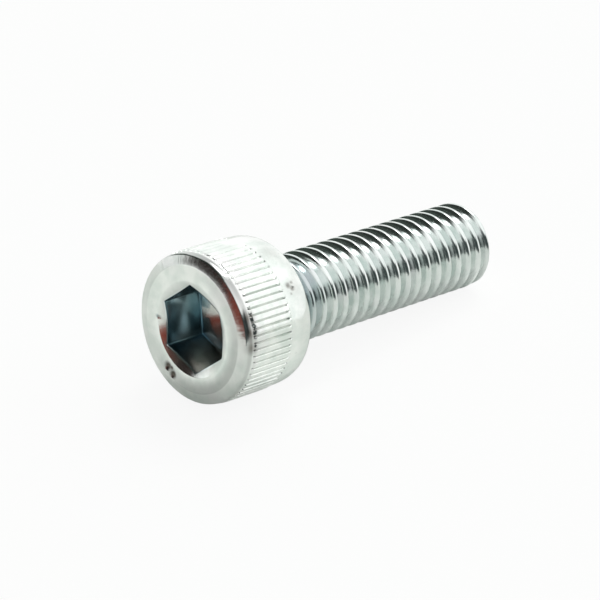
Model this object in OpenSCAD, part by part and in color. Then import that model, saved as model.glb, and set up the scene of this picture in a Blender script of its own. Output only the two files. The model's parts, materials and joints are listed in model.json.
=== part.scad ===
// Hex socket cap screw with a straight-knurled cylindrical head and a full-length thread.
// It lies as it comes to rest, on the back of its head and on the thread crest by its tip.
// Units are millimetres. +Z is up, the surface it lies on is z = 0, and the tip points to +X.
// Inside the modules the screw's own axis is Z, with the socket face at 0 and the tip at overall_l.

/* [Head] */
// Diameter of the plain bands at both ends of the head
head_d = 9.97; // [9:0.01:12]
// Height of the head, from the socket face to the seat
head_h = 6; // [5.4:0.1:8]
// Diameter of the flat ring on the socket face
face_d = 8.5; // [7.6:0.1:8.8]
// Drop of the shallow bevel outside the flat ring
bevel_drop = 0.12; // [0.05:0.01:0.3]
// Width of the rounding between that bevel and the side of the head
edge_round_w = 0.14; // [0.05:0.01:0.3]
// Length of that rounding along the axis
edge_round_l = 0.38; // [0.2:0.01:0.45]
// Diameter of the washer face under the head
seat_d = 9.3; // [8.4:0.1:9.6]
// Length of the rounding between the side of the head and the washer face
back_round_l = 1; // [0.5:0.05:1.3]

/* [Knurl] */
// Diameter over the knurl's ridges
knurl_d = 10.12; // [10.06:0.01:12.2]
// Depth of the grooves between the ridges
knurl_depth = 0.16; // [0.1:0.01:0.25]
// Number of ridges round the head
knurl_count = 70; // [48:1:80]
// Share of each ridge's pitch that the groove's mouth takes
knurl_groove_share = 0.35; // [0.3:0.05:0.8]
// Distance from the socket face to the knurl
knurl_start = 0.7; // [0.6:0.05:1]
// Length of the knurl along the axis
knurl_l = 3.4; // [2.4:0.05:3.6]

/* [Socket] */
// Width across the flats of the hexagonal socket
socket_af = 5.1; // [4:0.01:5.2]
// Depth of the socket's flats
socket_depth = 3.2; // [2.5:0.1:3.6]
// Diameter of the countersink at the socket's mouth, on the face
mouth_d = 6.4; // [6.2:0.1:7]
// Slope of the countersink below the face, in degrees
mouth_slope = 20; // [10:1:35]
// Depth of the hollow cone in the socket's floor
floor_cone_h = 0.9; // [0.2:0.05:1.2]
// Turn of the hexagon about the axis, in degrees
socket_turn = 49.6; // [0:0.1:59.9]

/* [Shank] */
// Length from the seat to the tip
shank_l = 19.8; // [12:0.1:40]
// Outside diameter of the thread
thread_d = 5.93; // [5.7:0.01:6.2]
// Pitch of the thread
thread_pitch = 1; // [0.9:0.05:1.25]
// Depth of the thread's groove
thread_depth = 0.58; // [0.4:0.01:0.65]
// Width of the thread's crest along the axis
crest_w = 0.14; // [0.08:0.01:0.2]
// Length of the plain neck under the head
neck_l = 1; // [0.5:0.1:3]
// Diameter of the plain neck
neck_d = 5.32; // [5.1:0.01:5.5]
// Radius of the fillet between the neck and the seat
neck_fillet = 0.3; // [0.2:0.05:0.4]
// Diameter of the flat end at the tip
tip_d = 4.6; // [4:0.1:4.7]
// Distance from the tip back to the last full crest, along the underside
last_crest = 1.35; // [1:0.05:1.8]

/* [Hidden] */

overall_l = head_h + shank_l;
head_r = head_d / 2;
face_r = face_d / 2;
seat_r = seat_d / 2;
knurl_r = knurl_d / 2;
knurl_end = knurl_start + knurl_l;
knurl_cover = 0.1;         // how far the plain bands reach over the ends of the knurl's grooves
knurl_core = 0.3;          // how far the turned body stays below the knurl's grooves
neck_r = neck_d / 2;
neck_end = head_h + neck_l;
thread_r = thread_d / 2;
root_r = thread_r - thread_depth;
tip_r = tip_d / 2;
flank_w = thread_depth * tan(30);   // a flank of the 60 degree thread, measured along the axis
run_out = thread_pitch;             // length over which the groove fades in beside the neck
skin = 0.02;                        // the thread starts this far inside the neck
overlap = 0.2;                      // how far joined solids reach into each other
mouth_r = mouth_d / 2;
mouth_tan = tan(mouth_slope);
arc_steps = 5;
thread_sides = 32;
column_turn = 360 / thread_sides;
seam_turn = 1.2;                    // turns the head so that a flat side of its mesh lies underneath

// Half of the head's turned outline as [radius, distance from the socket face] points.
// Both roundings are quarter ellipses.
front_edge = [for (i = [0 : arc_steps])
    let (a = 90 * i / arc_steps)
    [head_r - edge_round_w * (1 - sin(a)), bevel_drop + edge_round_l * (1 - cos(a))]];
back_edge = [for (i = [0 : arc_steps])
    let (a = 90 * i / arc_steps)
    [seat_r + (head_r - seat_r) * cos(a), head_h - back_round_l * (1 - sin(a))]];
knurl_waist = [
    [head_r, knurl_start + knurl_cover],
    [knurl_r - knurl_depth - knurl_core, knurl_start + knurl_cover],
    [knurl_r - knurl_depth - knurl_core, knurl_end - knurl_cover],
    [head_r, knurl_end - knurl_cover]];
neck_corner = [for (i = [0 : arc_steps])
    let (a = 90 * i / arc_steps)
    [neck_r + neck_fillet * (1 - sin(a)), head_h + neck_fillet * (1 - cos(a))]];
body_outline = concat(
    [[0, 0], [face_r, 0]], front_edge, knurl_waist, back_edge, neck_corner,
    [[neck_r, neck_end], [0, neck_end]]);

// The screw leans on whichever point of the head's side stands highest above the last crest.
// The thread's crest has a flat side there, so that the screw doesn't roll.
rest_r = thread_r * cos(column_turn / 2);
rest_crest = overall_l - last_crest + crest_w / 2 + thread_pitch / thread_sides / 2;
head_side = concat(front_edge, back_edge, [[knurl_r, knurl_start], [knurl_r, knurl_end]]);
lean = max([for (q = head_side) atan((q[0] - rest_r) / (rest_crest - q[1]))]);
axis_height = rest_r * cos(lean) + rest_crest * sin(lean);
low_x = -face_r * sin(lean);
high_x = overall_l * cos(lean) + tip_r * sin(lean);

// The thread's grid has one row of points for each corner of its profile, turn after turn, and
// one column for each side of the shank. A row climbs by one pitch as it goes round, so one step
// past the last column is the first column one turn further on.
profile = [                          // [distance along the axis from the crest's middle, radius]
    [-crest_w / 2, thread_r], [crest_w / 2, thread_r],
    [crest_w / 2 + flank_w, root_r], [thread_pitch - crest_w / 2 - flank_w, root_r]];
corners = len(profile);
thread_start = neck_end - overlap;
crest_before = overall_l - last_crest - thread_start;
first_crest = thread_start + crest_before - thread_pitch * (ceil(crest_before / thread_pitch) + 2);
turns = ceil((overall_l - first_crest) / thread_pitch) + 2;
rows = turns * corners;

function row_z(row, column) =
    first_crest + profile[row % corners][0]
    + thread_pitch * (floor(row / corners) + (column + 0.5) / thread_sides);
function fade(z) = min(max((z - neck_end) / run_out, 0), 1);
function tip_chamfer_r(z) = tip_r + overall_l - z;
function thread_point(row, column) =
    let (
        z = row_z(row, column),
        start_r = neck_r - skin,
        full_r = start_r + (profile[row % corners][1] - start_r) * fade(z),
        r = min(full_r, tip_chamfer_r(z)),
        a = column_turn * (column + 0.5))
    [r * cos(a), r * sin(a), z];
function end_ring(r, z) =
    [for (column = [0 : thread_sides - 1])
        let (a = column_turn * (column + 0.5)) [r * cos(a), r * sin(a), z]];

// Points past either end fold onto that end's ring.
low_ring = rows * thread_sides;
high_ring = low_ring + thread_sides;
function point_index(row, column) =
    column == thread_sides ? point_index(row + corners, 0) :
    row >= rows || row_z(row, column) > overall_l - skin ? high_ring + column :
    row_z(row, column) < thread_start + skin ? low_ring + column :
    row * thread_sides + column;
function is_whole(face) = face[0] != face[1] && face[1] != face[2] && face[2] != face[0];

// The knurl's outline: flat-topped ridges with V grooves between them.
knurl_pitch_a = 360 / knurl_count;
knurl_flat_a = knurl_pitch_a * (1 - knurl_groove_share) / 2;
knurl_points = [for (i = [0 : knurl_count - 1], corner = [-1, 0, 1])
    let (
        a = i * knurl_pitch_a + corner * (corner == 0 ? 0 : knurl_pitch_a / 2 - knurl_flat_a),
        r = corner == 0 ? knurl_r - knurl_depth : knurl_r)
    [r * cos(a), r * sin(a)]];

module knurl() {
    translate([0, 0, knurl_start])
        linear_extrude(height = knurl_l)
            polygon(knurl_points);
}

module socket() {
    flat_r = socket_af / 2;
    rotate([0, 0, socket_turn])
        translate([0, 0, -overlap])
            cylinder(r = flat_r / cos(30), h = socket_depth + overlap, $fn = 6);
    // The countersink starts above the face and ends inside the hexagon.
    translate([0, 0, -overlap])
        cylinder(
            r1 = mouth_r + overlap / mouth_tan,
            r2 = flat_r - overlap,
            h = overlap + (mouth_r - flat_r + overlap) * mouth_tan,
            $fn = 96);
    translate([0, 0, socket_depth - skin])
        cylinder(r1 = flat_r - skin, r2 = 0, h = floor_cone_h + skin, $fn = 96);
}

module thread() {
    grid = [for (row = [0 : rows - 1], column = [0 : thread_sides - 1]) thread_point(row, column)];
    points = concat(grid, end_ring(neck_r - skin, thread_start), end_ring(tip_r, overall_l));
    sides = [for (row = [0 : rows - 1], column = [0 : thread_sides - 1])
        let (
            here = point_index(row, column),
            above = point_index(row + 1, column),
            across = point_index(row + 1, column + 1),
            beside = point_index(row, column + 1))
        for (face = [[here, above, across], [here, across, beside]])
            if (is_whole(face)) face];
    caps = [
        [for (column = [0 : thread_sides - 1]) low_ring + column],
        [for (column = [thread_sides - 1 : -1 : 0]) high_ring + column]];
    polyhedron(points, concat(sides, caps));
}

module cap_screw() {
    color("gainsboro")
        translate([-(low_x + high_x) / 2, 0, axis_height])
            rotate([0, 90 + lean, 0])
                difference() {
                    union() {
                        rotate([0, 0, seam_turn])
                            rotate_extrude($fn = 128)
                                polygon(body_outline);
                        knurl();
                        thread();
                    }
                    socket();
                }
}

cap_screw();
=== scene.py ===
"""A zinc-plated hex socket cap screw: its fine surface, finish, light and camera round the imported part.

The screw is one closed skin of rings about its own axis, drawn in millimetres with the socket face at 0
and the tip at OVERALL_L. Angles run round that axis, and 0 is the underside. Everything in the scene is
in metres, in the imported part's frame.
"""

import json
import math
from typing import NamedTuple

import bmesh
import bpy
import numpy as np
from mathutils import Matrix, Vector


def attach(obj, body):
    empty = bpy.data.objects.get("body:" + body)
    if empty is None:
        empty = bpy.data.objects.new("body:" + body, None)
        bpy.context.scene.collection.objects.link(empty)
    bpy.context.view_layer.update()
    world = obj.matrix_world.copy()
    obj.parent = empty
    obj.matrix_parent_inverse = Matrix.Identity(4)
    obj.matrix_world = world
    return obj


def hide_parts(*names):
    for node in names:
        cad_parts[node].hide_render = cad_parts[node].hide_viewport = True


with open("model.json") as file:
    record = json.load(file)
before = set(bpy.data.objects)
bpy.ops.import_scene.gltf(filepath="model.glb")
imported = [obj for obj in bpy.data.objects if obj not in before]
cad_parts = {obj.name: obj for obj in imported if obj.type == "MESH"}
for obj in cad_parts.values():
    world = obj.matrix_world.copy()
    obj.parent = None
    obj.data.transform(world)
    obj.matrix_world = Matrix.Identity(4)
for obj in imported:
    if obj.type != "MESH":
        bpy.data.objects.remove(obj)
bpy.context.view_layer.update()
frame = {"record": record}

MM = 0.001

# The screw's own axis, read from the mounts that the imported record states.
mounts = {mount["name"]: mount for mount in frame["record"]["mounts"]}
FACE_CENTRE = Vector(mounts["hex_socket"]["pos_m"])
AXIS = -Vector(mounts["hex_socket"]["axis"]).normalized()
ACROSS = Vector((0, 1, 0))
SCREW_TURN = Matrix((ACROSS.cross(AXIS), ACROSS, AXIS)).transposed().to_4x4()
FROM_SCREW = Matrix.Translation(FACE_CENTRE) @ SCREW_TURN @ Matrix.Scale(MM, 4)

# Head, in millimetres.
HEAD_R = 4.985
HEAD_H = 6.0
FACE_R = 4.25
BEVEL_DROP = 0.12
EDGE_W = 0.14
EDGE_L = 0.38
SEAT_R = 4.65
BACK_L = 1.0

# Knurl.
KNURL_R = 5.06
KNURL_DEPTH = 0.16
KNURL_COUNT = 70
KNURL_FROM = 0.7
KNURL_L = 3.4
KNURL_TO = KNURL_FROM + KNURL_L

# Socket.
SOCKET_AF = 5.1
SOCKET_DEPTH = 3.2
SOCKET_TURN = math.radians(49.6)
SOCKET_CORNER_R = 0.12
SOCKET_FOOT_R = 0.1
FLOOR_CONE = 0.9
MOUTH_R = 3.2
MOUTH_SLOPE = math.tan(math.radians(20))

# Shank.
SHANK_L = 19.8
OVERALL_L = HEAD_H + SHANK_L
THREAD_R = 2.965
THREAD_DEPTH = 0.58
THREAD_PITCH = 1.0
CREST_W = 0.14
LAST_CREST = OVERALL_L - 1.35
NECK_R = 2.66
NECK_L = 1.0
NECK_END = HEAD_H + NECK_L
NECK_FILLET = 0.3
RUN_OUT = 0.6
TIP_R = 2.3

# Points round the shank and the socket, and along one pitch of the thread.
SHANK_SIDES = 120
SOCKET_SIDES = 360
THREAD_STEPS = 20

# Every point has grime and painted shade, from clean, 0, to fully covered, 1, and its warmth, from the
# plating's blue film, 0, to brown dirt, 1. Plain grey lies near the brown end. The socket, the knurl's
# grooves, the thread's roots, the neck and one side of the face hold painted shade in it.
GREY = 0.8
BROWN = 1.0


def smooth_step(x):
    """0 below 0, 1 above 1, and a smooth rise between."""
    x = np.clip(x, 0.0, 1.0)
    return x * x * (3 - 2 * x)


def lobe(angles, towards, sharpness):
    """1 at that many degrees round the axis, and less away from it, down to 0 from a quarter turn on."""
    return np.maximum(np.cos(angles - math.radians(towards)), 0.0) ** sharpness


def quarter_round(start, end, steps, convex_first):
    """Points of a quarter ellipse from start to end, as (radius, height) pairs without the start.
    It leaves start along the height where convex_first is true, and along the radius otherwise."""
    points = []
    for step in range(1, steps + 1):
        turn = math.pi / 2 * step / steps
        late, early = 1 - math.cos(turn), math.sin(turn)
        share_r, share_h = (late, early) if convex_first else (early, late)
        radius = start[0] + (end[0] - start[0]) * share_r
        height = start[1] + (end[1] - start[1]) * share_h
        points.append((radius, height))
    return points


class Skin:
    """Rings of points about the screw's axis, joined into one closed mesh from floor to tip."""

    def __init__(self):
        self.points = []
        self.grime_and_shade = []
        self.warmth = []
        self.faces = []

    def ring(self, radius, height, angles, grime_and_shade=0.0, warmth=0.0):
        """Adds a ring and returns the numbers of its points.
        Each value is one for the whole ring or one for each angle."""
        first = len(self.points)
        radius, height, angles, grime_and_shade, warmth = np.broadcast_arrays(radius, height, angles, grime_and_shade, warmth)
        self.points += list(zip(radius * np.cos(angles), radius * np.sin(angles), height))
        self.grime_and_shade += list(grime_and_shade)
        self.warmth += list(warmth)
        return list(range(first, first + len(angles)))

    def join(self, ring, following):
        """Quads between two rings with the same number of points."""
        for here in range(len(ring)):
            beside = (here + 1) % len(ring)
            self.faces.append((ring[here], ring[beside], following[beside], following[here]))

    def join_all(self, rings):
        for ring, following in zip(rings, rings[1:]):
            self.join(ring, following)

    def from_angle_0(self, ring):
        """The ring's points with their angles, in the angles' order, and the first again a turn later."""
        full_turn = 2 * math.pi
        turns = [(math.atan2(self.points[n][1], self.points[n][0]) % full_turn, n) for n in ring]
        turns.sort()
        return turns + [(turns[0][0] + full_turn, turns[0][1])]

    def zip_up(self, ring, following):
        """Triangles between two rings whose numbers of points differ."""
        near, far = self.from_angle_0(ring), self.from_angle_0(following)
        done, done_far = 0, 0
        while done < len(ring) or done_far < len(following):
            here, there = near[done][1], far[done_far][1]
            behind = done < len(ring) and near[done + 1][0] <= far[min(done_far + 1, len(following))][0]
            if behind or done_far == len(following):
                done += 1
                self.faces.append((here, near[done][1], there))
            else:
                done_far += 1
                self.faces.append((here, far[done_far][1], there))

    def cap(self, ring, height, towards_tip):
        """Closes a ring with triangles to a point on the axis."""
        centre = len(self.points)
        self.points.append((0.0, 0.0, height))
        self.grime_and_shade.append(self.grime_and_shade[ring[0]])
        self.warmth.append(self.warmth[ring[0]])
        for here in range(len(ring)):
            pair = (ring[here], ring[(here + 1) % len(ring)])
            self.faces.append((*pair, centre) if towards_tip else (*reversed(pair), centre))


# The head's side: bevel, bands, knurl and both roundings

# Places of a ridge's points across its pitch, from one groove's middle to the next, and how deep each lies.
RIDGE_PLACES = np.array([0.0, 0.06, 0.12, 0.18, 0.3, 0.5, 0.7, 0.82, 0.88, 0.94])
RIDGE_DEPTHS = np.array([1.0, 0.75, 0.3, 0.04, 0.0, 0.0, 0.0, 0.04, 0.3, 0.75])
RIDGE_NUMBERS = np.arange(KNURL_COUNT)[:, None]
side_angles = ((RIDGE_NUMBERS + RIDGE_PLACES) * 2 * math.pi / KNURL_COUNT).ravel()

# No two grooves are rolled equally deep or start at quite the same height.
DEPTH_WANDER = 0.15
START_WANDER = 0.05
wander = np.random.default_rng(11).uniform(-1, 1, KNURL_COUNT)
wander = np.where(RIDGE_PLACES < 0.5, wander[:, None], np.roll(wander, -1)[:, None]).ravel()
groove = np.tile(RIDGE_DEPTHS, KNURL_COUNT)
groove_depths = groove * KNURL_DEPTH * (1 + DEPTH_WANDER * wander)
groove_starts = KNURL_FROM + START_WANDER * wander

# Lengths over which the ridges swell and sink, and over which the grooves deepen and end.
SWELL_L = 0.2
SINK_L = 0.12
DEEPEN_L = 0.14
GROOVE_END_L = 0.2
GROOVE_SHORT = 0.02

# Rings of the knurl, as heights past its start and heights short of its end.
KNURL_START_STEPS = (-0.06, -0.02, 0.02, 0.06, 0.1, 0.15, 0.2, 0.27, 0.36, 0.6, 1.0, 1.6, 2.2, 2.8)
KNURL_END_STEPS = (0.3, 0.22, 0.16, 0.1, 0.05, 0.0)
BEVEL_STEPS = (0.03, 0.3)
EDGE_STEPS = 7
BAND_RINGS = 10
BACK_STEPS = 12
RING_GAP = 0.05

# The bevel's wear is even, with more on the rounding outside it and most round one dull place.
BEVEL_WEAR = 0.2
ROUNDING_WEAR = 0.15
DULL_WEAR = 0.3
DULL_PLACE = 198
STIPPLE = 0.0013
BAND_WEAR = 0.1


def knurl_radius(height):
    """The head's radius at every side angle, where the rolled grooves start and end in short ramps."""
    past_start = height - groove_starts
    swell = smooth_step(past_start / SWELL_L) * smooth_step((KNURL_TO - height) / SINK_L)
    cut = smooth_step(past_start / DEEPEN_L) * smooth_step((KNURL_TO - GROOVE_SHORT - height) / GROOVE_END_L)
    return HEAD_R + (KNURL_R - HEAD_R) * swell - groove_depths * cut


def knurl_shade(height):
    """Painted shade along the grooves, and darker painted shade in the pits where they start."""
    pit_shade_place = 0.12
    pit_shade_spread = 0.13
    ramp = 0.2
    past_start = height - groove_starts
    start = np.exp(-(((past_start - pit_shade_place) / pit_shade_spread) ** 2))
    along = smooth_step(past_start / ramp) * smooth_step((KNURL_TO - height) / ramp)
    return groove * (0.15 * along + 0.5 * start) + (1 - groove) * 0.1 * start


def bevel_wear(height):
    on_rounding = smooth_step((height - BEVEL_DROP - 0.02) / 0.2)
    return BEVEL_WEAR + ROUNDING_WEAR * on_rounding + DULL_WEAR * lobe(side_angles, DULL_PLACE, 6)


def band_wear(height):
    return BAND_WEAR * smooth_step((height - KNURL_TO - 0.3) / 0.8)


def add_head_side(skin, face_ring):
    """From the rim of the flat face round the side to the rim of the seat."""
    edge_foot = (HEAD_R - EDGE_W, BEVEL_DROP)
    slope = BEVEL_DROP / (edge_foot[0] - FACE_R)
    bevel = [(FACE_R + step, step * slope) for step in BEVEL_STEPS] + [edge_foot]
    bevel += quarter_round(edge_foot, (HEAD_R, BEVEL_DROP + EDGE_L), EDGE_STEPS, convex_first=False)
    rings = [face_ring]
    rough = np.random.default_rng(5)
    for radius, height in bevel:
        stipple = rough.normal(0, STIPPLE, len(side_angles))
        rings.append(skin.ring(radius, height + stipple, side_angles, bevel_wear(height), GREY))

    heights = [KNURL_FROM + step for step in KNURL_START_STEPS]
    heights += [KNURL_TO - step for step in KNURL_END_STEPS]
    for height in heights:
        rings.append(skin.ring(knurl_radius(height), height, side_angles, knurl_shade(height), GREY))

    back_start = (HEAD_R, HEAD_H - BACK_L)
    back = [(HEAD_R, height) for height in np.linspace(KNURL_TO + RING_GAP, HEAD_H - BACK_L, BAND_RINGS)]
    back += quarter_round(back_start, (SEAT_R, HEAD_H), BACK_STEPS, convex_first=True)
    for radius, height in back:
        rings.append(skin.ring(radius, height, side_angles, band_wear(height), GREY))
    skin.join_all(rings)
    return rings[-1]


# The socket: floor, walls and countersink

# Painted shade in the socket. The walls are darkest towards one side, are brown on the underside
# and blue elsewhere, and one of them has a paler patch. The floor is darker towards one side too.
WALL_SHADE = 0.55
WALL_SWING = 0.42
WALL_DARKEST = math.radians(45)
WALL_BROWN = 0.9
PALER_PATCH = 0.2
PALER_PLACE = 80
FLOOR_SHADE = 0.1
FLOOR_SWING = 0.6
FLOOR_DARKEST = math.radians(40)

# The floor stops this far short of the flats, and its rings lie at these shares of its radius.
FLOOR_GAP = 0.06
FLOOR_SHARES = (0.06, 0.4, 0.75, 1.0)
FOOT_RINGS = 4

# Rings of the walls, as (share of the way down, share of the paler patch).
WALL_RINGS = ((0.8, 0.1), (0.6, 1.0), (0.4, 0.9), (0.2, 0.1))
# Rings of the slightly broken edge above them, as (step out, step down from the countersink, painted shade).
BROKEN_EDGE = ((0.004, 0.015, 0.3), (0.02, -0.004, 0.2))
# Rings of the countersink, as (share of the way out, painted shade, fading outwards).
MOUTH_RINGS = ((0.2, 0.3), (0.5, 0.2), (0.92, 0.08))
# Rings of the clean face beside it, as steps outwards.
FACE_STEPS = (0.01, 0.1)

# A hexagon's side, seen from the axis, and half of it.
SIXTH = math.pi / 3
TWELFTH = math.pi / 6


def hexagon_radius(angles, apothem, corner_r):
    """Distance from the axis to a hexagon with rounded corners, at every angle."""
    turned = np.mod(angles - SOCKET_TURN, SIXTH) - TWELFTH
    flat = apothem / np.cos(turned)
    # A corner's arc is centred on the corner's own line.
    from_corner = TWELFTH - np.abs(turned)
    centre = (apothem - corner_r) / math.cos(TWELFTH)
    half_chord = np.sqrt(np.maximum(corner_r**2 - (centre * np.sin(from_corner)) ** 2, 0.0))
    arc = centre * np.cos(from_corner) + half_chord
    on_arc = from_corner < math.atan2(corner_r / 2, centre + corner_r * math.cos(TWELFTH))
    return np.where(on_arc, arc, flat)


def socket_angles():
    """Angles that crowd together at the hexagon's corners."""
    crowding = 0.8
    points = SOCKET_SIDES // 6
    share = (np.arange(points) + 0.5) / points
    crowd = share - crowding * np.sin(2 * math.pi * share) / (2 * math.pi)
    return np.concatenate([SOCKET_TURN + (flat + crowd) * SIXTH for flat in range(6)])


def add_socket(skin):
    """From the middle of the socket's floor out to the start of the flat face."""
    angles = socket_angles()
    wall = hexagon_radius(angles, SOCKET_AF / 2, SOCKET_CORNER_R)
    # Painted shade on the walls: darkest towards one side, brown on the underside, paler on one wall.
    wall_shade = WALL_SHADE + WALL_SWING * np.cos(angles - WALL_DARKEST)
    wall_warmth = WALL_BROWN * lobe(angles, 0, 2)
    paler_patch = PALER_PATCH * lobe(angles, PALER_PLACE, 2)
    floor_r = SOCKET_AF / 2 - FLOOR_GAP
    rings = []
    for share in FLOOR_SHARES:
        height = SOCKET_DEPTH + FLOOR_CONE * (1 - share)
        # Painted shade on the socket's floor, darker outwards and towards one side.
        grime_and_shade = FLOOR_SHADE + FLOOR_SWING * share * np.cos(angles - FLOOR_DARKEST)
        rings.append(skin.ring(floor_r * share, height, angles, np.maximum(grime_and_shade, 0.0), BROWN))
    for turn in np.linspace(0, math.pi / 2, FOOT_RINGS):
        radius = wall - SOCKET_FOOT_R * (1 - math.sin(turn))
        height = SOCKET_DEPTH - SOCKET_FOOT_R * (1 - math.cos(turn))
        rings.append(skin.ring(radius, height, angles, wall_shade, wall_warmth))

    mouth_depth = (MOUTH_R - wall) * MOUTH_SLOPE
    flat_l = SOCKET_DEPTH - SOCKET_FOOT_R - mouth_depth
    for share, paler_share in WALL_RINGS:
        grime_and_shade = wall_shade - paler_share * paler_patch
        rings.append(skin.ring(wall, mouth_depth + flat_l * share, angles, grime_and_shade, wall_warmth))
    rings.append(skin.ring(wall, mouth_depth + 0.04, angles, wall_shade, wall_warmth))
    for out, down, grime_and_shade in BROKEN_EDGE:
        rings.append(skin.ring(wall + out, mouth_depth + down, angles, grime_and_shade))
    for share, grime_and_shade in MOUTH_RINGS:
        radius = wall + (MOUTH_R - wall) * share
        rings.append(skin.ring(radius, mouth_depth * (1 - share), angles, grime_and_shade, GREY))
    rings += [skin.ring(MOUTH_R + step, 0.0, angles) for step in FACE_STEPS]
    skin.join_all(rings)
    skin.cap(rings[0], SOCKET_DEPTH + FLOOR_CONE, towards_tip=False)
    return rings[-1]


# The shank: neck, helical thread and chamfered tip

FILLET_STEPS = 6
# The washer face's inner ring lies this far inside the seat's rim.
WASHER_STEP = 0.35
TIP_SHARES = (1.0, 0.97, 0.6, 0.1)
# Turns of the thread that are drawn beyond each end, where they fold onto it.
SPARE_TURNS = 2

SHANK_WARMTH = 0.4
SEAT_GRIME = 0.1
# Painted shade on the neck, where the head meets the thread.
NECK_SHADE = 0.5
CREST_GRIME = 0.16
# Painted shade deepening into the thread's roots.
ROOT_SHADE = 0.06
# The painted shade at the neck, where the head meets the thread, reaches onto the thread and fades over this
# length.
NECK_SHADE_ON_THREAD = 0.35
NECK_SHADE_FADE_L = 3.0


def thread_profile():
    """One pitch of the rolled thread, as (distance from a crest's middle, share of the full depth)."""
    half_crest = CREST_W / THREAD_PITCH / 2
    points = []
    for step in range(THREAD_STEPS):
        place = (step + 0.5) / THREAD_STEPS
        off_crest = max(min(place, 1 - place) - half_crest, 0.0) / (0.5 - half_crest)
        points.append((THREAD_PITCH * place, (1 - math.cos(math.pi * off_crest)) / 2))
    return points


def thread_radius(height, depth):
    """The shank's radius at that share of the thread's depth.
    The thread grows from the neck's radius, and the tip's chamfer cuts it."""
    grown = smooth_step((height - NECK_END) / RUN_OUT)
    full = NECK_R + (THREAD_R - THREAD_DEPTH * depth - NECK_R) * grown
    return np.minimum(full, TIP_R + OVERALL_L - height)


def thread_grime_and_shade(height, depth):
    # An even grime on the thread, with painted shade in its roots and near the head.
    neck_shade = NECK_SHADE_ON_THREAD * (1 - smooth_step((height - NECK_END) / NECK_SHADE_FADE_L))
    return CREST_GRIME + ROOT_SHADE * depth + neck_shade


def add_thread(skin, angles):
    """Rows that follow the helix, so one step past a row's last point is its first point one turn on."""
    turn_share = angles / (2 * math.pi)
    first_turn = math.floor((NECK_END - LAST_CREST) / THREAD_PITCH) - SPARE_TURNS
    last_turn = math.ceil((OVERALL_L - LAST_CREST) / THREAD_PITCH) + SPARE_TURNS
    profile = thread_profile()
    rows = []
    for turn in range(first_turn, last_turn):
        for place, depth in profile:
            height = LAST_CREST + THREAD_PITCH * (turn + turn_share) + place
            height = np.clip(height, NECK_END, OVERALL_L)
            radius, grime_and_shade = thread_radius(height, depth), thread_grime_and_shade(height, depth)
            rows.append(skin.ring(radius, height, angles, grime_and_shade, SHANK_WARMTH))
    for row in range(len(rows) - 1):
        for column in range(SHANK_SIDES):
            corners = [(row, column), (row, column + 1), (row + 1, column + 1), (row + 1, column)]
            corners = [(r + THREAD_STEPS, 0) if c == SHANK_SIDES else (r, c) for r, c in corners]
            if max(r for r, _ in corners) < len(rows):
                skin.faces.append(tuple(rows[r][c] for r, c in corners))


def add_shank(skin, seat_ring):
    """From the rim of the seat along the shank to the middle of the tip."""
    angles = 2 * math.pi * (np.arange(SHANK_SIDES) + 0.5) / SHANK_SIDES
    fillet_foot = (NECK_R + NECK_FILLET, HEAD_H)
    neck = [fillet_foot]
    neck += quarter_round(fillet_foot, (NECK_R, HEAD_H + NECK_FILLET), FILLET_STEPS, convex_first=False)
    neck += [(NECK_R, NECK_END)]
    rings = [skin.ring(SEAT_R - WASHER_STEP, HEAD_H, angles, SEAT_GRIME, SHANK_WARMTH)]
    rings += [skin.ring(radius, height, angles, NECK_SHADE, SHANK_WARMTH) for radius, height in neck]
    skin.zip_up(seat_ring, rings[0])
    skin.join_all(rings)
    add_thread(skin, angles)
    tip = [skin.ring(TIP_R * share, OVERALL_L, angles) for share in TIP_SHARES]
    skin.join_all(tip)
    skin.cap(tip[-1], OVERALL_L, towards_tip=True)


# Wear and painted shade


class Mark(NamedTuple):
    """A dent, a smudge or a patch of painted shade: its distance from the axis, its degrees round it, its
    height, how far it reaches, its grime or painted shade, and how deep it is pressed in along the axis and
    towards the axis."""

    from_axis: float
    degrees: float
    height: float
    reach: float
    grime_and_shade: float
    along: float = 0.0
    inward: float = 0.0


MARKS = [
    # Dents on the face, low on one side, and a nick at the countersink's rim.
    Mark(3.8, 31.0, 0.0, reach=0.44, grime_and_shade=1.0, along=0.1),
    Mark(3.95, 21.5, 0.0, reach=0.42, grime_and_shade=1.0, along=0.09),
    Mark(3.62, 26.0, 0.0, reach=0.2, grime_and_shade=0.9, along=0.04),
    Mark(3.21, 86.5, 0.0, reach=0.18, grime_and_shade=0.9, along=0.03),
    # A cluster of small dents on the back band, and the blotch round them.
    Mark(HEAD_R, 229.0, 4.6, reach=0.3, grime_and_shade=0.65, inward=0.05),
    Mark(HEAD_R, 232.0, 4.85, reach=0.24, grime_and_shade=0.6, inward=0.05),
    Mark(HEAD_R, 227.5, 4.95, reach=0.16, grime_and_shade=0.5, inward=0.03),
    Mark(HEAD_R, 235.5, 4.6, reach=0.14, grime_and_shade=0.45, inward=0.02),
    Mark(HEAD_R, 231.0, 4.9, reach=0.9, grime_and_shade=0.15, inward=0.01),
    # Painted shade where the knurl starts.
    Mark(HEAD_R, 243.0, 0.55, reach=0.75, grime_and_shade=0.5),
    Mark(HEAD_R, 254.0, 0.55, reach=0.75, grime_and_shade=0.6),
    Mark(HEAD_R, 265.0, 0.55, reach=0.7, grime_and_shade=0.5),
    # A faint one, high on the back band.
    Mark(HEAD_R, 200.0, 4.7, reach=1.1, grime_and_shade=0.18, inward=0.01),
]
MARK_WARMTH = 0.9


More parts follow.
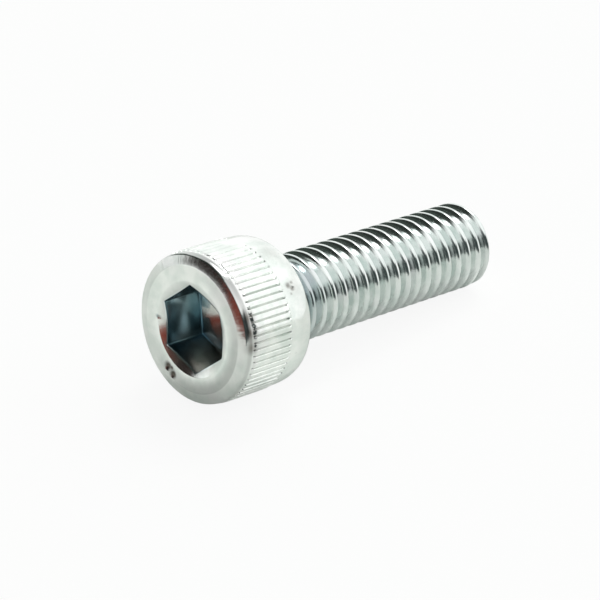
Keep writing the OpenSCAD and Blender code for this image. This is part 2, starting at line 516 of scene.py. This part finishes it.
def press_marks(points, grime_and_shade, warmth):
    """Presses the marks into the points, and adds their grime and painted shade."""
    for mark in MARKS:
        turn = math.radians(mark.degrees)
        out = np.array([math.cos(turn), math.sin(turn), 0.0])
        centre = mark.from_axis * out + (0.0, 0.0, mark.height)
        away = np.linalg.norm(points - centre, axis=1) / mark.reach
        dip = np.clip(1 - away**2, 0.0, 1.0) ** 2
        points += dip[:, None] * (np.array([0.0, 0.0, mark.along]) - mark.inward * out)
        grime_and_shade += mark.grime_and_shade * dip
        warmth += (MARK_WARMTH - warmth) * dip


# The whole screw

FACE_RINGS = 10
# Painted shade on the face, darkest on the side away from the dents and none beside the countersink.
FACE_SHADE = 0.24
FACE_SHADED_SIDE = math.radians(-45)
SAME_POINT = 1e-8
SHARP_FROM = math.radians(32)


def add_face(skin, socket_ring):
    """The flat ring round the socket's mouth."""
    shaded_side = FACE_SHADE * (1 + np.cos(side_angles - FACE_SHADED_SIDE))
    rings = []
    for radius in np.linspace(MOUTH_R + 0.22, FACE_R - 0.03, FACE_RINGS):
        # Painted shade, strongest on one side and fading in towards the countersink.
        face_shade = shaded_side * smooth_step((radius - MOUTH_R + 0.1) / 0.9)
        rings.append(skin.ring(radius, 0.0, side_angles, face_shade, GREY))
    skin.zip_up(socket_ring, rings[0])
    skin.join_all(rings)
    return rings[-1]


def build_screw():
    """Draws the skin from the socket's floor to the tip, marks it, and makes it one mesh."""
    skin = Skin()
    socket_ring = add_socket(skin)
    face_ring = add_face(skin, socket_ring)
    seat_ring = add_head_side(skin, face_ring)
    add_shank(skin, seat_ring)
    points = np.array(skin.points, float)
    grime_and_shade = np.array(skin.grime_and_shade, float)
    warmth = np.array(skin.warmth, float)
    press_marks(points, grime_and_shade, warmth)

    mesh = bpy.data.meshes.new("cap_screw_zinc")
    mesh.from_pydata([FROM_SCREW @ Vector(point) for point in points], [], skin.faces)
    mesh.attributes.new("grime_and_shade", "FLOAT", "POINT").data.foreach_set("value", grime_and_shade)
    mesh.attributes.new("warmth", "FLOAT", "POINT").data.foreach_set("value", warmth)
    # The thread's folded ends leave doubled points, and some that no face needs.
    clean = bmesh.new()
    clean.from_mesh(mesh)
    bmesh.ops.remove_doubles(clean, verts=clean.verts, dist=SAME_POINT)
    loose = [vertex for vertex in clean.verts if not vertex.link_faces]
    bmesh.ops.delete(clean, geom=loose, context="VERTS")
    clean.to_mesh(mesh)
    clean.free()
    mesh.shade_smooth()
    mesh.set_sharp_from_angle(angle=SHARP_FROM)
    made = bpy.data.objects.new("cap_screw_zinc", mesh)
    bpy.context.scene.collection.objects.link(made)
    return made


screw = build_screw()

# Shader maths


class Wire:
    """An output socket that Python's operators work on: each adds a Math node."""

    def __init__(self, shader, socket):
        self.shader = shader
        self.socket = socket

    def __add__(self, other):
        return self.shader.math("ADD", self, other)

    def __sub__(self, other):
        return self.shader.math("SUBTRACT", self, other)

    def __rsub__(self, other):
        return self.shader.math("SUBTRACT", other, self)

    def __mul__(self, other):
        return self.shader.math("MULTIPLY", self, other)

    __radd__ = __add__
    __rmul__ = __mul__

    def step(self, low, high):
        """A smooth rise from 0 at low to 1 at high."""
        return self.shader.wire(
            "ShaderNodeMapRange",
            "Result",
            {"interpolation_type": "SMOOTHSTEP"},
            {"Value": self, "From Min": low, "From Max": high},
        )

    def band(self, low, high, soft):
        """1 between low and high, and 0 outside them, with soft ends of twice that width."""
        return self.step(low - soft, low + soft) * (1 - self.step(high - soft, high + soft))


class Shader:
    """A node tree that is filled one node at a time."""

    def __init__(self, tree):
        self.tree = tree
        tree.nodes.clear()

    def node(self, kind, settings=None, values=None):
        """Adds a node with its settings, then sets or links its sockets, named by name or by number."""
        made = self.tree.nodes.new(kind)
        for name, value in (settings or {}).items():
            setattr(made, name, value)
        for name, value in (values or {}).items():
            socket = made.inputs[name]
            if isinstance(value, Wire):
                self.tree.links.new(value.socket, socket)
            else:
                socket.default_value = value
        return made

    def wire(self, kind, output, settings=None, values=None):
        """Adds a node and returns one of its outputs, named by name or by number."""
        return Wire(self, self.node(kind, settings, values).outputs[output])

    def math(self, operation, *values):
        return self.wire("ShaderNodeMath", 0, {"operation": operation}, dict(enumerate(values)))

    def noise(self, where, scale, detail, roughness=0.5):
        values = {"Vector": where, "Scale": scale, "Detail": detail, "Roughness": roughness}
        return self.wire("ShaderNodeTexNoise", "Fac", {}, values)

    def mix(self, factor, first, second):
        """A colour between two colours."""
        return self.wire("ShaderNodeMix", 2, {"data_type": "RGBA"}, {0: factor, 6: first, 7: second})


WHITE = (1, 1, 1, 1)
BRIGHT_ZINC = (0.93, 0.945, 0.92, 1)
DULL_ZINC = (0.78, 0.825, 0.79, 1)
BLUSH = (0.88, 0.85, 0.86, 1)
SPECK = (0.45, 0.46, 0.45, 1)
BLUE_FILM_AND_SHADE = (0.11, 0.3, 0.41, 1)
BROWN_DIRT_AND_SHADE = (0.12, 0.08, 0.05, 1)

# Scales of the plating's patterns, per metre.
CLOUD_SCALE = 900.0
BLUSH_SCALE = 380.0
GRAIN_SCALE = 6500.0
SPECK_SCALE = 3200.0


def zinc_plate():
    """Bright zinc: a near-white metal with a faint green cast and random clouds, darkened where the grime
    attribute holds dirt and painted shade.
    """
    material = bpy.data.materials.new("zinc_plate")
    material.use_nodes = True
    shader = Shader(material.node_tree)
    place = shader.wire("ShaderNodeTexCoord", "Object")
    grime_and_shade = shader.wire("ShaderNodeAttribute", "Fac", {"attribute_name": "grime_and_shade"})
    warmth = shader.wire("ShaderNodeAttribute", "Fac", {"attribute_name": "warmth"})
    clouds = shader.noise(place, CLOUD_SCALE, 3.0)
    blush = shader.noise(place, BLUSH_SCALE, 2.0).step(0.52, 0.7)
    grain = shader.noise(place, GRAIN_SCALE, 3.0, 0.6)
    specks = shader.noise(place, SPECK_SCALE, 4.0, 0.7).step(0.64, 0.74)

    colour = shader.mix(clouds.step(0.32, 0.68), BRIGHT_ZINC, DULL_ZINC)
    colour = shader.mix(0.5 * blush, colour, BLUSH)
    colour = shader.mix(0.35 * specks, colour, SPECK)
    # The grime attribute's dirt and painted shade pull the colour towards blue film and brown.
    colour = shader.mix(grime_and_shade, colour, shader.mix(warmth, BLUE_FILM_AND_SHADE, BROWN_DIRT_AND_SHADE))
    roughness = 0.08 + 0.07 * clouds + 0.05 * grain + 0.05 * grime_and_shade
    relief = {"Strength": 0.3, "Distance": 0.02 * MM, "Height": clouds + 0.3 * grain}
    bump = shader.wire("ShaderNodeBump", "Normal", {}, relief)
    finish = {"Metallic": 1.0, "Base Color": colour, "Roughness": roughness, "Normal": bump}
    surface = shader.wire("ShaderNodeBsdfPrincipled", "BSDF", {}, finish)
    shader.node("ShaderNodeOutputMaterial", {}, {"Surface": surface})
    return material


screw.data.materials.append(zinc_plate())
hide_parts("cap_screw")
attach(screw, "root")

# Floor, light and camera

# The floor ends early on the socket's side, so that the head mirrors the low cards beyond it.
FLOOR_LOW = Vector((-42, -60, 0)) * MM
FLOOR_HIGH = Vector((90, 90, 0)) * MM
PAPER = (0.84, 0.87, 0.83, 1)
# How white the floor shows to the camera and in the plating, whatever light falls on it.
WHITE_TO_CAMERA = 0.9
WHITE_IN_METAL = 0.1


def add_floor():
    """A pale sheet under the screw. It shows nearly white, and keeps a trace of the screw's shadow."""
    low, high = FLOOR_LOW, FLOOR_HIGH
    mesh = bpy.data.meshes.new("studio_floor")
    mesh.from_pydata([low, (high.x, low.y, 0), high, (low.x, high.y, 0)], [], [(0, 1, 2, 3)])
    floor = bpy.data.objects.new("studio_floor", mesh)
    bpy.context.scene.collection.objects.link(floor)
    material = bpy.data.materials.new("studio_white")
    material.use_nodes = True
    shader = Shader(material.node_tree)
    ray = shader.node("ShaderNodeLightPath")
    seen, mirrored = (Wire(shader, ray.outputs[name]) for name in ("Is Camera Ray", "Is Glossy Ray"))
    paint = shader.wire("ShaderNodeBsdfDiffuse", "BSDF", {}, {"Color": PAPER})
    glow = shader.wire("ShaderNodeEmission", "Emission", {}, {"Color": WHITE, "Strength": 1.0})
    white_share = WHITE_TO_CAMERA * seen + WHITE_IN_METAL * mirrored
    mixed = shader.wire("ShaderNodeMixShader", "Shader", {}, {0: white_share, 1: paint, 2: glow})
    shader.node("ShaderNodeOutputMaterial", {}, {"Surface": mixed})
    mesh.materials.append(material)


add_floor()


class Card(NamedTuple):
    """A card that hangs round the screw for its plating to mirror: its colour, and the bearings and
    elevations that it takes. Both have a lower end, an upper end and the softness of the ends. Bearings
    are degrees from the way that the socket looks towards +Y, and elevations are sines."""

    colour: tuple
    bearings: tuple
    elevations: tuple


TENT = (1.12, 1.14, 1.13, 1)
DARK = (0.055, 0.072, 0.062, 1)
CARDS = [
    # White, high over the near side.
    Card((1.25, 1.27, 1.26, 1), (-176, -50, 10), (0.5, 0.95, 0.05)),
    # A dark ceiling, from the socket's side to the far side.
    Card(DARK, (-20, 118, 8), (0.8, 1.5, 0.09)),
    # A lamp, high beyond the tip.
    Card((6.5, 6.5, 6.5, 1), (142, 200, 5), (0.74, 0.95, 0.03)),
    # Grey, low on the near side.
    Card((0.5, 0.53, 0.52, 1), (-112, -58, 12), (-0.3, 0.04, 0.06)),
    # Nearly black, high on the far side, and dark below it.
    Card((0.03, 0.036, 0.032, 1), (2, 94, 10), (0.36, 1.5, 0.08)),
    Card(DARK, (5, 108, 10), (0.14, 0.5, 0.05)),
    # Dark teal, from the near side round to the socket's side, and low between them.
    Card((0.05, 0.065, 0.064, 1), (-124, -16, 8), (-0.06, 0.5, 0.06)),
    Card((0.06, 0.075, 0.074, 1), (-20, 8, 5), (-0.1, 0.3, 0.05)),
    Card((0.085, 0.105, 0.103, 1), (-70, -3, 6), (-0.5, 0.0, 0.05)),
    # Dark red over red, in front of the socket, for the countersink and the bevel.
    Card((0.09, 0.04, 0.032, 1), (2, 28, 4), (0.05, 0.2, 0.04)),
    Card((0.22, 0.052, 0.036, 1), (-4, 30, 3), (-0.5, 0.06, 0.03)),
    # Nearly black beside them.
    Card((0.03, 0.022, 0.02, 1), (26, 47, 3), (-0.1, 0.33, 0.03)),
]


def light_the_room():
    """A white tent with the cards hung in it, which is plain white where the camera sees it."""
    world = bpy.data.worlds.new("light_tent")
    bpy.context.scene.world = world
    world.use_nodes = True
    shader = Shader(world.node_tree)
    looking = shader.wire("ShaderNodeTexCoord", "Generated")
    way = shader.node("ShaderNodeSeparateXYZ", {}, {"Vector": looking})
    along, across, up = (Wire(shader, way.outputs[name]) for name in "XYZ")
    bearing = shader.math("ARCTAN2", across, 0 - along) * math.degrees(1)
    colour = TENT
    for card in CARDS:
        on_card = bearing.band(*card.bearings) * up.band(*card.elevations)
        colour = shader.mix(on_card, colour, card.colour)
    seen = shader.wire("ShaderNodeLightPath", "Is Camera Ray")
    light = {"Color": shader.mix(seen, colour, WHITE), "Strength": 1.0}
    sky = shader.wire("ShaderNodeBackground", "Background", {}, light)
    shader.node("ShaderNodeOutputWorld", {}, {"Surface": sky})


light_the_room()

SENSOR_W = 36.0
IMAGE_W = 600
FOCAL_PIXELS = 2885.4  # the photograph's focal length, in its own pixels
EYE = Vector((-121.42, -120.096, 91.624)) * MM
LOOK = Vector((0.62306, 0.63214, -0.46065))

camera = bpy.data.objects.new("camera", bpy.data.cameras.new("camera"))
camera.data.sensor_width = SENSOR_W
camera.data.lens = FOCAL_PIXELS * SENSOR_W / IMAGE_W
camera.data.clip_start = 10 * MM
camera.data.clip_end = 10.0
camera.location = EYE
camera.rotation_mode = "QUATERNION"
camera.rotation_quaternion = LOOK.to_track_quat("-Z", "Y")
bpy.context.scene.collection.objects.link(camera)
bpy.context.scene.camera = camera
bpy.context.scene.view_settings.view_transform = "Standard"
